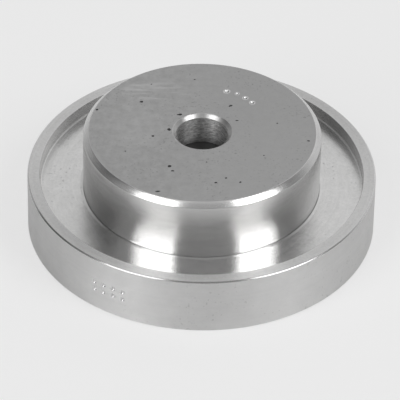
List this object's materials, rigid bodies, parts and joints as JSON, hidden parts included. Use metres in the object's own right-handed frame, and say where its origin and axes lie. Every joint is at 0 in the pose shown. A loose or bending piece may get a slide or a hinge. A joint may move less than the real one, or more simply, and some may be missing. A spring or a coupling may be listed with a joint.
{
  "type": "watch case press block",
  "caption": "Round turned press block: a flanged base with an annular recess and a raised round core with a chamfered edge and a central blind hole.",
  "frame": {"origin": "centre of the flat underside, on the turning axis", "axes": "+Z along the turning axis, from the underside towards the core's top face; X and Y are arbitrary because the block is turned"},
  "size_m": [0.06, 0.06, 0.0194],
  "materials": {
    "satin_turned_metal": "satin turned outer wall and rim, bright turned recess",
    "polished_turned_metal": "polished wall and chamfer, fine matt top face with small dents"
  },
  "bodies": {
    "root": {"flanged_base": "satin_turned_metal", "centre_boss": "polished_turned_metal"}
  },
  "joints": []
}
